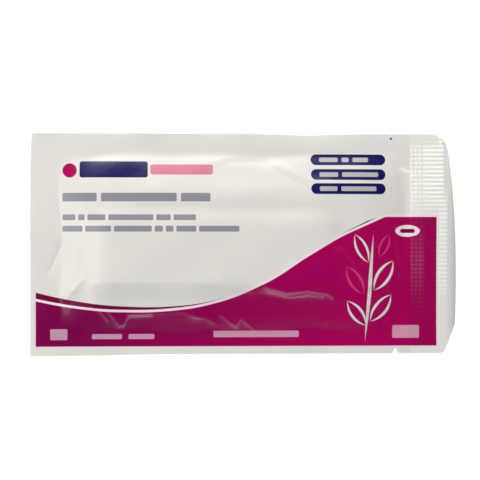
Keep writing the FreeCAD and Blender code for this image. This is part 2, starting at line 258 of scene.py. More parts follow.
# Sharp creases: rise, half width, and the places that the crease runs through
CREASES = (
    (0.20, 0.4, ((-44.4, -18.0), (-40.5, -22.4))),
    (0.20, 0.4, ((-40.2, -20.0), (-37.0, -24.2), (-35.5, -23.9), (-34.0, -21.2), (-27.5, -20.9))),
    (0.15, 0.4, ((-34.0, -21.2), (-18.7, -20.3), (-14.3, -21.6), (-11.9, -21.8), (-9.2, -23.3))),
    (0.20, 0.4, ((-7.2, -21.3), (-4.5, -23.3), (-2.5, -24.4), (-1.0, -22.4), (2.6, -25.3))),
    (0.22, 0.4, ((5.5, -12.9), (12.3, -14.7), (18.2, -14.1), (24.1, -15.0), (25.9, -16.2))),
    (0.16, 0.4, ((6.5, -13.9), (13.0, -15.7), (18.6, -15.0), (23.0, -15.7))),
    (0.10, 0.8, ((-9.8, 23.9), (-3.9, 25.7), (5.5, 26.1), (12.3, 21.9), (18.2, 18.9), (34.4, 17.4))),
    (-0.08, 0.9, ((-9.0, 22.2), (-3.5, 24.0), (4.5, 24.2), (10.6, 20.6), (17.4, 17.2))),
    (0.24, 0.8, ((28.5, -3.2), (35.0, -11.5), (44.7, -25.3))),
    (0.16, 0.9, ((-54.5, 24.8), (-54.1, 13.0), (-53.5, 1.2))),
    (0.55, 1.4, ((-47.6, -10.6), (-52.6, -16.2))),
    (0.12, 0.9, ((-43.8, -11.5), (-15.7, -10.9), (2.0, -14.1))),
    (0.18, 0.6, ((44.0, -0.3), (45.6, -6.2))),
    (0.25, 0.4, ((46.6, 22.2), (48.6, 21.4))),
)
# Small dents and peaks: place, rise, radius
DIMPLES = (
    ((35.0, -7.3), 0.45, 1.1),
    ((36.9, -12.5), 0.45, 1.1),
    ((5.5, -17.4), 0.18, 0.9),
    ((24.1, -22.7), 0.16, 0.9),
    ((-54.3, 25.0), 0.40, 1.1),
    ((-50.2, -13.5), 0.32, 1.4),
)


def crease_share(x, y, width, places):
    """1 on a bent line, falling off as e to the minus distance from it, in half widths."""
    away = np.full_like(x, np.inf)
    for start, end in zip(places, places[1:]):
        away = np.minimum(away, distance_to(x, y, start, end)[0])
    return np.exp(-away / width)


def creased(x, y):
    """Height of the sharp ridges, dents and peaks."""
    height = np.zeros_like(x)
    for top, width, places in CREASES:
        height += top * crease_share(x, y, width, places)
    for (centre_x, centre_y), top, radius in DIMPLES:
        height += top * np.exp(-np.hypot(x - centre_x, y - centre_y) / radius)
    return height


CREASE_START = 0.1  # share of the slopes over which the creases grow from nothing
CURL = 0.45  # how far the upper edge curls down, right of its middle
CURL_PLACE = 19.0
CURL_WIDTH = 21.0
EDGE_WAVE = 0.16
END_WAVE = 0.16
BAND_WAVE = 0.3
BAND_START = 3.0  # over how much the crimped band takes up its own wave
# Waves of the free film: share, run for one radian, phase
EDGE_WAVES = ((1.0, 5.1, 0.7), (0.5, 2.3, 2.0))
END_WAVES = ((1.0, 6.0, 1.1), (0.5, 3.1, 0.0))
BAND_WAVES = ((1.0, 9.0, 0.3),)
# A dent across the factory seal's inner edge: depth, half width, ends
SEAL_DENT = (0.45, 1.1, ((-54.2, -1.0), (-57.0, -7.6)))


def sine_waves(along, waves):
    """Sine waves along a line, added up."""
    return sum(share * np.sin(along / run + phase) for share, run, phase in waves)


def flutter(x, y):
    """How far the free film waves up and down: sine waves that grow from the pocket to the edge."""
    side = np.clip((np.abs(y) - pocket_upper) / SIDE_SEAL, 0, 1) ** 2
    end = np.clip((pocket_left - x) / FACTORY_SEAL, 0, 1) ** 2
    band = np.clip((x - pocket_right) / BAND_START, 0, 1)
    curl = CURL * side * (y > 0) * np.exp(-(((x - CURL_PLACE) / CURL_WIDTH) ** 2))
    waves = EDGE_WAVE * side * sine_waves(x, EDGE_WAVES) + END_WAVE * end * sine_waves(y, END_WAVES)
    bow = sine_waves(y, BAND_WAVES)
    depth, width, places = SEAL_DENT
    dent = depth * crease_share(x, y, width, places)
    return (1 - band) * waves + BAND_WAVE * band * bow - curl - dent


FAINT_PRESS = 0.20  # where the jaws hardly touched
INNER_PRESS = 0.65  # in the inner columns
OUTER_PRESS = 0.50  # in the outer columns
INNER_COLUMNS = 3.4
INNER_PLACE = -5.0  # the inner columns are firmest at this height
INNER_WIDTH = 12.0
OUTER_COLUMNS = 2.2
OUTER_LOW = -14.0  # below this the outer columns fade
OUTERMOST_TOP = 14.0  # above this the jaws missed the outermost column
OUTERMOST_RUN = 2.0
FIRM_LOW = 11.0  # between these two heights the jaws pressed fully
FIRM_HIGH = 29.2
LOW_RUN = 3.0  # how softly the firmness changes, at its low and high limit
HIGH_RUN = 1.2


def dot_shape(x, y):
    """The crimp's four-sided dots, from 0 in the grooves to 1 on their tops.

    Each is the lower of two triangle waves, one along and one across. Beyond the inner columns
    the wave along is half as deep, so that the dots run together in bars.
    """
    def triangle(distance):
        share = np.mod(distance / DOT_PITCH, 1.0)
        return 1 - np.abs(2 * share - 1)

    in_band = (x > crimp_start) & (x < crimp_end)
    inner = x < crimp_start + INNER_COLUMNS * DOT_PITCH
    along = triangle(x - crimp_start)
    along = np.where(inner, along, (1 + along) / 2)
    return in_band * np.minimum(along, triangle(y + half_width + DOT_PITCH / 2))


def firmness(x, y):
    """How firmly the jaws pressed, from 0 to 1: fully near the upper end, unevenly below it."""
    in_inner = x < crimp_start + INNER_COLUMNS * DOT_PITCH
    in_outer = x > crimp_end - OUTER_COLUMNS * DOT_PITCH
    in_outermost = x > crimp_end - DOT_PITCH
    upper_end = (1 + np.tanh((y - FIRM_LOW) / LOW_RUN)) * (1 - np.tanh((y - FIRM_HIGH) / HIGH_RUN)) / 4
    inner = in_inner * np.exp(-(((y - INNER_PLACE) / INNER_WIDTH) ** 2))
    outer = in_outer * (1 + np.tanh((y - OUTER_LOW) / LOW_RUN)) / 2
    below = FAINT_PRESS + INNER_PRESS * inner + OUTER_PRESS * outer
    missed = in_outermost * (1 + np.tanh((y - OUTERMOST_TOP) / OUTERMOST_RUN)) / 2
    return (upper_end + (1 - upper_end) * below) * (1 - missed)


FINE_CREASE = 0.6  # creases narrower than this are painted pale: stretch whitening and a painted highlight on their ridges
FULL_CREASE = 0.2  # a crease this high gets the full pale paint
BAR_GROOVE = 0.65  # how pale the grooves are painted, between the bars and between the dots; the tops get the full painted highlight
DOT_GROOVE = 0.45


def stretch_and_highlight(x, y):
    """How pale the film is painted, from 0 to 1, on firm dots and along the fine creases: stretch
    whitening, with a painted highlight brightest on the dot tops and crease ridges.
    """
    in_band = (x > crimp_start) & (x < crimp_end)
    groove = np.where(x > crimp_start + INNER_COLUMNS * DOT_PITCH, BAR_GROOVE, DOT_GROOVE)
    tops = np.sqrt(dot_shape(x, y))
    pale = in_band * firmness(x, y) * (groove + (1 - groove) * tops)
    for top, width, places in CREASES:
        if width < FINE_CREASE:
            pale += top / FULL_CREASE * crease_share(x, y, width, places)
    return np.clip(pale, 0, 1)


def lip_drop(x):
    """How far the lip beyond the crimp curls down: the drop of an arc from its crown."""
    radius = (LIP_LENGTH**2 + LIP_DROOP**2) / (2 * LIP_DROOP)
    reach = np.clip(x - crimp_end, 0, LIP_LENGTH)
    return radius - np.sqrt(radius**2 - reach**2)


def pocket_slopes(from_left, from_right, from_upper, from_lower, runs):
    """The four slopes of the pocket, multiplied: 0 on the seals, 1 over the middle."""
    left, right, upper, lower = runs
    slopes = rise(from_left, left) * rise(from_right, right)
    return slopes * rise(from_upper, upper) * rise(from_lower, lower)


def upper_film(x, y):
    """Seals and crimp at one level, and between them a belly that its contents and folds lift.

    The height is the seals' level, plus slopes times belly, plus creases, dots and the free film's
    waves, less the drop of the lip.
    """
    slopes = pocket_slopes(
        x - pocket_left - waver(y, WAVER_PHASES[0]),
        pocket_right - x - waver(y, WAVER_PHASES[1]),
        pocket_upper - y - waver(x, WAVER_PHASES[2]),
        y - pocket_lower - waver(x, WAVER_PHASES[3]),
        (SLOPE_LEFT, SLOPE_RIGHT, SLOPE_UPPER, SLOPE_LOWER),
    )
    contents = CASSETTE["show"] * lifted(x, y, CASSETTE) + DROPPER["show"] * lifted(x, y, DROPPER)
    belly = BELLY_RISE + contents + folded(x, y) + waved(x, y)
    fine = creased(x, y) * np.clip(slopes / CREASE_START, 0, 1)
    dots = DOT_RISE * dot_shape(x, y) * firmness(x, y)
    return SEAL_TOP + slopes * belly + fine + dots + flutter(x, y) - lip_drop(x)


def lower_film(x, y):
    """The same seals from beneath, and a belly that the floor presses flat."""
    slopes = pocket_slopes(
        x - pocket_left, pocket_right - x, pocket_upper - y, y - pocket_lower, (UNDER_SLOPE,) * 4
    )
    height = SEAL_LEVEL - slopes * (SEAL_LEVEL + PRESS_FLAT) + flutter(x, y) - lip_drop(x)
    return np.maximum(height, 0.0)


# Grid of the pouch's films

FINE = DOT_PITCH / 4  # rows and the crimp's columns, so that every dot has its peak and grooves
POCKET_COLUMNS = 300
LIP_COLUMNS = 8
EDGE_ROWS = (0.02, 0.07, 0.14, 0.22)  # extra rows this far from each long edge
UNDER_STEP = 4  # the lower film has one row for this many of the upper film's
TEAR_CLEAR = 0.12  # even columns nearer to a tear's own columns than this are left out
SQUEEZE_REACH = 0.8  # the grid is squeezed at least this far in from the bowed edge


def grid_columns():
    """Columns: even over the pocket, in step with the dots, with one at each corner of a tear."""
    even = np.linspace(-half_length, crimp_start, POCKET_COLUMNS + 1)
    tears = []
    for place, width, _ in (NOTCH, SLIT):
        middle = crimp_start - place
        tears += [middle - width / 2, middle - width / 4, middle, middle + width / 4, middle + width / 2]
    tears = np.array(tears)
    clear = np.min(np.abs(even[:, None] - tears[None, :]), axis=1) > TEAR_CLEAR
    band = crimp_start + FINE * np.arange(1, 4 * DOT_COLUMNS + 1)
    lip = np.linspace(crimp_end, half_length, LIP_COLUMNS + 1)[1:]
    return np.concatenate((np.sort(np.concatenate((even[clear], tears))), band, lip))


def grid_rows():
    """Rows: in step with the dots, and closer together along both long edges."""
    even = np.arange(-half_width, half_width + FINE / 2, FINE)
    edge = np.array(EDGE_ROWS)
    return np.sort(np.concatenate((even, edge - half_width, half_width - edge)))


def outline_grid(columns, rows):
    """The grid bent to the outline: squeezed at the bowed right end, pulled in at the tears."""
    x, y = np.meshgrid(columns, rows, indexing="ij")
    reach = reach_right(y)
    anchor = np.minimum(crimp_end, reach - SQUEEZE_REACH)
    share = np.clip((x - anchor) / (half_length - anchor), 0, 1)
    x = np.where(x > anchor, anchor + share * (reach - anchor), x)
    x = x + LEAN_IN * np.exp((y - half_width) / LEAN_REACH) * np.clip(-x / half_length, 0, 1)
    near_low = np.clip(1 - (y + half_width) / TEAR_REACH, 0, 1) ** 2
    near_high = np.clip(1 - (half_width - y) / TEAR_REACH, 0, 1) ** 2
    y = y + (tear_depth(x, NOTCH) + lower_sag(x)) * near_low
    y = y - (tear_depth(x, SLIT) + upper_sag(x)) * near_high
    return x, y


def grid_faces(count, first):
    """Quads of a grid of points, columns by rows, that face up."""
    columns, rows = count
    corner = (np.arange(columns - 1)[:, None] * rows + np.arange(rows - 1)[None, :]).ravel() + first
    return np.stack((corner, corner + rows, corner + rows + 1, corner + 1), axis=1)


def new_mesh(name, points, faces):
    """A mesh from points in millimetres and faces of any number of corners."""
    mesh = bpy.data.meshes.new(name)
    mesh.from_pydata((points * MM).tolist(), [], faces)
    mesh.update()
    piece = bpy.data.objects.new(name, mesh)
    bpy.context.scene.collection.objects.link(piece)
    return piece


def printed_pouch():
    """Upper and lower film over one outline, joined round the cut edge by upright faces."""
    columns = grid_columns()
    rows = grid_rows()
    x, y = outline_grid(columns, rows)
    upper = np.stack((x, y, upper_film(x, y)), axis=2).reshape(-1, 3)
    kept = np.arange(0, len(rows), UNDER_STEP)
    under_x = x[:, kept]
    under_y = y[:, kept]
    lower = np.stack((under_x, under_y, lower_film(under_x, under_y)), axis=2).reshape(-1, 3)
    upper_faces = grid_faces((len(columns), len(rows)), 0)
    lower_faces = grid_faces((len(columns), len(kept)), len(upper))[:, ::-1]

    top = np.arange(len(upper)).reshape(len(columns), len(rows))
    base = np.arange(len(lower)).reshape(len(columns), len(kept)) + len(upper)
    rim = []
    for line, beneath, outward in ((top[:, 0], base[:, 0], 1), (top[:, -1], base[:, -1], -1)):
        side = np.stack((beneath[:-1], beneath[1:], line[1:], line[:-1]), axis=1)
        rim += side[:, ::outward].tolist()
    for line, beneath, outward in ((top[0], base[0], -1), (top[-1], base[-1], 1)):
        for low in range(len(kept) - 1):
            above = line[low * UNDER_STEP : (low + 1) * UNDER_STEP + 1]
            side = [beneath[low], beneath[low + 1], *above[::-1]]
            rim.append([int(corner) for corner in side[::outward]])
    faces = upper_faces.tolist() + lower_faces.tolist() + rim
    pouch = new_mesh("printed_pouch", np.vstack((upper, lower)), faces)
    plain = np.zeros(len(faces), np.int32)
    plain[len(upper_faces) :] = 1
    pouch.data.polygons.foreach_set("material_index", plain)
    smooth = np.ones(len(faces), bool)
    smooth[len(upper_faces) + len(lower_faces) :] = False
    pouch.data.polygons.foreach_set("use_smooth", smooth)
    # Pale paint for each point of the upper film: stretch whitening and a painted highlight on the dot
    # tops and crease ridges
    pale = np.zeros(len(upper) + len(lower), np.float32)
    pale[: len(upper)] = stretch_and_highlight(x, y).ravel()
    stretch_highlight = pouch.data.attributes.new("stretch_highlight", "FLOAT", "POINT")
    stretch_highlight.data.foreach_set("value", pale)
    return pouch


# Shader nodes


def linear(red, green, blue):
    """A colour given as 0 to 255 on a screen, as the shader wants it."""
    shares = np.array((red, green, blue)) / 255
    return (*np.where(shares > 0.04045, ((shares + 0.055) / 1.055) ** 2.4, shares / 12.92), 1.0)


def add_node(tree, kind, inputs=(), **settings):
    """A node with settings, and with a value or a link for each of the inputs given."""
    node = tree.nodes.new(kind)
    for name, value in settings.items():
        setattr(node, name, value)
    for key, value in dict(inputs).items():
        if isinstance(value, bpy.types.NodeSocket):
            tree.links.new(value, node.inputs[key])
        else:
            node.inputs[key].default_value = value
    return node


def maths(tree, operation, *values):
    return add_node(tree, "ShaderNodeMath", enumerate(values), operation=operation).outputs[0]


def vector_maths(tree, operation, *values, output="Vector"):
    node = add_node(tree, "ShaderNodeVectorMath", enumerate(values), operation=operation)
    return node.outputs[output]


def ramp(tree, value, start, end):
    """0 before start and 1 after end, and even between them."""
    inputs = {"Value": value, "From Min": start, "From Max": end}
    return add_node(tree, "ShaderNodeMapRange", inputs).outputs[0]


def new_group(name, inputs, outputs):
    """An empty node group with the sockets given as (name, kind), and its two end nodes."""
    group = bpy.data.node_groups.new(name, "ShaderNodeTree")
    for socket, kind in inputs:
        group.interface.new_socket(socket, in_out="INPUT", socket_type=kind)
    for socket, kind in outputs:
        group.interface.new_socket(socket, in_out="OUTPUT", socket_type=kind)
    return group, group.nodes.new("NodeGroupInput"), group.nodes.new("NodeGroupOutput")


INK_EDGE = 0.07  # millimetres over which a printed edge goes from paper to ink


def bar_group():
    """A printed bar with round corners: 1 where it is less than the radius beyond its inner box."""
    group, start, end = new_group(
        "printed_bar",
        (("Place", "NodeSocketVector"), ("Centre", "NodeSocketVector"), ("Half Size", "NodeSocketVector"),
         ("Corner", "NodeSocketFloat")),
        (("Mask", "NodeSocketFloat"),),
    )
    offset = vector_maths(group, "SUBTRACT", start.outputs["Place"], start.outputs["Centre"])
    offset = vector_maths(group, "MULTIPLY", offset, (1.0, 1.0, 0.0))
    offset = vector_maths(group, "ABSOLUTE", offset)
    radius = start.outputs["Corner"]
    corner = add_node(group, "ShaderNodeCombineXYZ", {0: radius, 1: radius})
    inner = vector_maths(group, "SUBTRACT", start.outputs["Half Size"], corner.outputs[0])
    beyond = vector_maths(group, "SUBTRACT", offset, inner)
    beyond = vector_maths(group, "MAXIMUM", beyond, (0.0, 0.0, 0.0))
    away = vector_maths(group, "LENGTH", beyond, output="Value")
    past = maths(group, "SUBTRACT", away, radius)
    group.links.new(ramp(group, past, INK_EDGE, -INK_EDGE), end.inputs["Mask"])
    return group


def oval_group():
    """A printed oval: 1 where the offset in half sizes is shorter than 1."""
    group, start, end = new_group(
        "printed_oval",
        (("Place", "NodeSocketVector"), ("Centre", "NodeSocketVector"), ("Half Size", "NodeSocketVector")),
        (("Mask", "NodeSocketFloat"),),
    )
    offset = vector_maths(group, "SUBTRACT", start.outputs["Place"], start.outputs["Centre"])
    offset = vector_maths(group, "MULTIPLY", offset, (1.0, 1.0, 0.0))
    offset = vector_maths(group, "DIVIDE", offset, start.outputs["Half Size"])
    away = vector_maths(group, "LENGTH", offset, output="Value")
    group.links.new(ramp(group, away, 1 + INK_EDGE / 2, 1 - INK_EDGE / 2), end.inputs["Mask"])
    return group


def leaf_group():
    """A printed leaf outline: where two discs overlap, less a narrower leaf, tapering to its tips.

    With half length L and half width w, both discs have the radius (L^2 + w^2) / 2w.
    """
    group, start, end = new_group(
        "printed_leaf",
        (("Place", "NodeSocketVector"), ("Centre", "NodeSocketVector"), ("Turn", "NodeSocketFloat"),
         ("Half Length", "NodeSocketFloat"), ("Half Width", "NodeSocketFloat"),
         ("Stroke", "NodeSocketFloat")),
        (("Mask", "NodeSocketFloat"),),
    )
    offset = vector_maths(group, "SUBTRACT", start.outputs["Place"], start.outputs["Centre"])
    turned = add_node(
        group, "ShaderNodeVectorRotate",
        {"Vector": offset, "Angle": maths(group, "MULTIPLY", start.outputs["Turn"], -1.0)},
        rotation_type="Z_AXIS",
    )
    local = add_node(group, "ShaderNodeSeparateXYZ", {0: turned.outputs[0]})
    aside = maths(group, "ABSOLUTE", local.outputs["Y"])

    def squares(one, other):
        return maths(group, "ADD", maths(group, "POWER", one, 2.0), maths(group, "POWER", other, 2.0))

    def past_leaf(leaf_length, leaf_width):
        twice = maths(group, "MULTIPLY", leaf_width, 2.0)
        radius = maths(group, "DIVIDE", squares(leaf_length, leaf_width), twice)
        across = maths(group, "ADD", aside, maths(group, "SUBTRACT", radius, leaf_width))
        away = maths(group, "SQRT", squares(across, local.outputs["X"]))
        return maths(group, "SUBTRACT", away, radius)

    outer = past_leaf(start.outputs["Half Length"], start.outputs["Half Width"])
    narrow = maths(group, "SUBTRACT", start.outputs["Half Width"], start.outputs["Stroke"])
    inner = past_leaf(start.outputs["Half Length"], narrow)
    past = maths(group, "MAXIMUM", outer, maths(group, "MULTIPLY", inner, -1.0))
    group.links.new(ramp(group, past, INK_EDGE, -INK_EDGE), end.inputs["Mask"])
    return group


# Noise of the film's relief: scale, share
RELIEF_NOISE = ((0.10, 0.75), (0.45, 0.25))
RELIEF_DEPTH = 0.25


def film_relief_group():
    """The faint unevenness of stretched film: broad and fine noise, as a height for a Bump node."""
    group, start, end = new_group(
        "film_relief", (("Place", "NodeSocketVector"),), (("Height", "NodeSocketFloat"),)
    )
    height = 0.0
    for scale, share in RELIEF_NOISE:
        noise = add_node(
            group, "ShaderNodeTexNoise",
            {"Vector": start.outputs["Place"], "Scale": scale, "Detail": 3.0, "Roughness": 0.5},
        )
        height = maths(group, "MULTIPLY_ADD", noise.outputs[0], share, height)
    group.links.new(height, end.inputs["Height"])
    return group


# Print

PRINT_SHIFT = (-0.2, 0.0, 0.0)  # how far the print sits off the middle of the film
FILM_WHITE = linear(230, 227, 223)
MAGENTA_LEFT = linear(125, 0, 76)
MAGENTA_RIGHT = linear(172, 0, 88)
DEEP_MAGENTA = linear(116, 5, 62)
NAVY = linear(22, 20, 88)
SLATE = linear(84, 84, 120)
ROSE = linear(214, 60, 122)
PALE_ROSE = linear(246, 206, 226)
PALE_EDGE = linear(252, 228, 238)
SLIT_SHADOW_GREY = linear(92, 92, 92)
THIN_LINE_GREY = linear(74, 70, 78)
PRESSED_WHITE_HIGHLIGHT = linear(255, 255, 250)  # stretched film, and a painted highlight on the dot tops and crease ridges
PRESSED_INK_HIGHLIGHT = 0.20  # how much paler the ink is painted there: cracked ink and a painted highlight
CRACK_HIGHLIGHT_POWER = 3.0  # the ink is painted paler, as cracked ink and painted highlight, only where the pale share is highest
PRESSED_DARK = 0.30  # how much deeper the ink is in the crimp
PRESSED_FADE = 1.0  # over how much to each side of its start it turns deeper

# The printed field: its box, and the curve of its upper edge as places along the pouch and heights
FIELD_LEFT = -61.15
FIELD_RIGHT = 57.2
FIELD_LOW = -30.2
CURVE_LOW = -22.0
CURVE_HIGH = 10.0
CURVE = (
    (-61.15, -16.9), (-49.4, -19.0), (-35.2, -20.1), (-20.0, -19.5), (-9.2, -17.6), (4.9, -12.2),
    (19.1, -3.5), (28.7, 2.1), (34.0, 4.55), (41.7, 7.95), (57.2, 7.95),
)
CURVE_CORNER = 9  # the one of these places, from 0, where the edge turns sharply
PALE_LINE = 0.75  # width of the pale line along the field's edge
FADE_START = -50.0  # the field turns brighter from here
FADE_END = 32.0  # to here
DARK_LINE_END = -4.5  # the dark line above it tapers away here
DARK_LINE_TAPER = 0.032  # its width grows by this share towards the left
THIN_LINE_START = 27.0  # a second dark line starts here, near the top of the curve
THIN_LINE_END = 39.5
THIN_LINE_TAPER = 0.045

# Pills, each with a row of bars in it, and the marks and bars above and in the field, by the
# middle, half length and half height of each
PILLS = ((30.75, 24.8), (30.75, 20.4), (30.75, 16.2))
PILL_HALF = (11.1, 1.6)
PILL_BARS_LEFT = 22.2
PILL_BAR_HALF = 0.68
PILL_BAR_GAP = 1.15
PILL_BARS = ((5.5, 2.1, 4.6), (5.5, 10.8), (5.2, 10.5))
DISC = (-51.2, 21.5)
DISC_HALF = (2.1, 2.1)
HEADING_NAVY = ((-38.3, 21.8), (10.0, 2.4))
HEADING_ROSE = ((-18.4, 21.8), (9.2, 1.5))
LINES_LEFT = -53.3
# Broken lines: height on the pouch, half height, gap, lengths of their bars
BROKEN_LINES = (
    (13.65, 1.25, 1.25, (10.1, 22.1, 8.6)),
    (7.75, 0.85, 0.85, (3.8, 1.9, 5.3, 13.1, 4.2, 6.5)),
    (4.4, 0.85, 0.85, (5.9, 7.6, 11.0, 2.4, 2.2, 5.8, 11.8)),
)
FIELD_BARS = (
    ((-54.4, -26.7), (2.5, 1.6)),
    ((-40.3, -27.3), (4.4, 0.75)),
    ((-30.2, -27.3), (3.8, 0.75)),
    ((3.6, -26.6), (12.6, 0.95)),
    ((48.0, -26.0), (4.0, 1.9)),
)
BADGE = (48.5, 3.8)  # an oval with a dark bar in it
BADGE_HALF = (3.7, 1.75)
BADGE_BAR_HALF = (2.2, 0.6)
SLIT_SHADOW = (43.6, 31.1)  # a painted shadow: a dark disc in the inner end of the tear slit
SLIT_SHADOW_HALF = (0.36, 0.36)
MISPRINT = 0.3  # how far the pale ink stands out below the field
MISPRINT_INK = 0.8
MOTTLE = 0.05  # how unevenly the field took its ink
MOTTLE_SCALE = 0.22
MOTTLE_START = 0.5  # the noise colours the field from this value
MOTTLE_END = 0.75  # and fully from this
LINE_TIP = 0.15  # a dark line thinner than this fades out
TIP_TAPER = 3.0  # how much faster the thin line tapers at its upper end
# Corner radii of the field, of its misprint, and of the bars
FIELD_CORNER = 0.15
MISPRINT_CORNER = 0.1
LINE_CORNER = 0.35
FIELD_BAR_CORNER = 0.4
HEADING_CORNER = 0.7
# How densely each kind of bar is printed
PILL_BAR_INK = 0.62
HEADING_ROSE_INK = 0.75
LINE_INK = 0.72
FIELD_BAR_INK = 0.5
# Leaves of the sprig: centre, turn in degrees, half length, half width, stroke, ink
LEAVES = (
    ((33.2, -20.5), 128, 4.6, 1.9, 0.75, "white"),
    ((40.4, -19.0), 52, 5.0, 2.1, 0.8, "white"),
    ((32.6, -10.8), 122, 4.8, 2.0, 0.7, "rose"),
    ((41.2, -9.4), 56, 5.2, 2.2, 0.85, "white"),
    ((34.6, -1.4), 116, 4.6, 1.8, 0.7, "white"),
    ((41.4, -0.6), 66, 3.6, 1.5, 0.6, "rose"),
    ((37.0, -13.0), 86, 15.5, 0.55, 0.54, "white"),
)


def scaled_place(tree):
    """The place on the pouch in millimetres."""
    coordinates = add_node(tree, "ShaderNodeTexCoord").outputs["Object"]
    scaled = add_node(tree, "ShaderNodeVectorMath", {0: coordinates, "Scale": 1 / MM}, operation="SCALE")
    return vector_maths(tree, "SUBTRACT", scaled.outputs[0], PRINT_SHIFT)


def over(tree, under, mask, colour, strength=1.0):
    """Lays ink of one colour over what is under it, where the mask is 1."""
    if strength < 1.0:
        mask = maths(tree, "MULTIPLY", mask, strength)
    node = add_node(tree, "ShaderNodeMix", {"Factor": mask}, data_type="RGBA")
    for name, value in (("A", under), ("B", colour)):
        socket = [item for item in node.inputs if item.name == name and item.type == "RGBA"][0]
        if isinstance(value, bpy.types.NodeSocket):
            tree.links.new(value, socket)
        else:
            socket.default_value = value
    return [item for item in node.outputs if item.type == "RGBA"][0]


def curve_height(tree, along):
    """Height of the field's upper edge, a smooth curve through a few places."""
    node = tree.nodes.new("ShaderNodeFloatCurve")
    curve = node.mapping.curves[0]
    places = [((x - FIELD_LEFT) / (FIELD_RIGHT - FIELD_LEFT), (y - CURVE_LOW) / (CURVE_HIGH - CURVE_LOW))
              for x, y in CURVE]
    curve.points[0].location = places[0]
    curve.points[1].location = places[-1]
    for place in places[1:-1]:
        curve.points.new(*place)
    curve.points[CURVE_CORNER].handle_type = "VECTOR"
    node.mapping.update()
    tree.links.new(ramp(tree, along, FIELD_LEFT, FIELD_RIGHT), node.inputs["Value"])
    return maths(tree, "MULTIPLY_ADD", node.outputs[0], CURVE_HIGH - CURVE_LOW, CURVE_LOW)


def field_masks(tree, place, box):
    """Place along, and masks of the printed field, its pale edge line and the dark lines above it."""
    split = add_node(tree, "ShaderNodeSeparateXYZ", {0: place})
    along = split.outputs["X"]
    above = maths(tree, "SUBTRACT", split.outputs["Y"], curve_height(tree, along))
    field = maths(tree, "MULTIPLY", ramp(tree, above, INK_EDGE, -INK_EDGE), box)
    pale = maths(tree, "MULTIPLY", ramp(tree, above, PALE_LINE + INK_EDGE, PALE_LINE - INK_EDGE), box)
    above_pale = maths(tree, "SUBTRACT", above, PALE_LINE)

    def line_mask(thickness):
        inked = ramp(tree, maths(tree, "SUBTRACT", above_pale, thickness), INK_EDGE, -INK_EDGE)
        inked = maths(tree, "MULTIPLY", inked, ramp(tree, thickness, 0.0, LINE_TIP))
        return maths(tree, "MULTIPLY", inked, box)

    to_end = maths(tree, "SUBTRACT", DARK_LINE_END, along)
    dark = line_mask(maths(tree, "MULTIPLY", to_end, DARK_LINE_TAPER))
    from_start = maths(tree, "SUBTRACT", along, THIN_LINE_START)
    to_end = maths(tree, "MULTIPLY", maths(tree, "SUBTRACT", THIN_LINE_END, along), TIP_TAPER)
    thin = line_mask(maths(tree, "MULTIPLY", maths(tree, "MINIMUM", from_start, to_end), THIN_LINE_TAPER))
    return along, field, pale, dark, thin


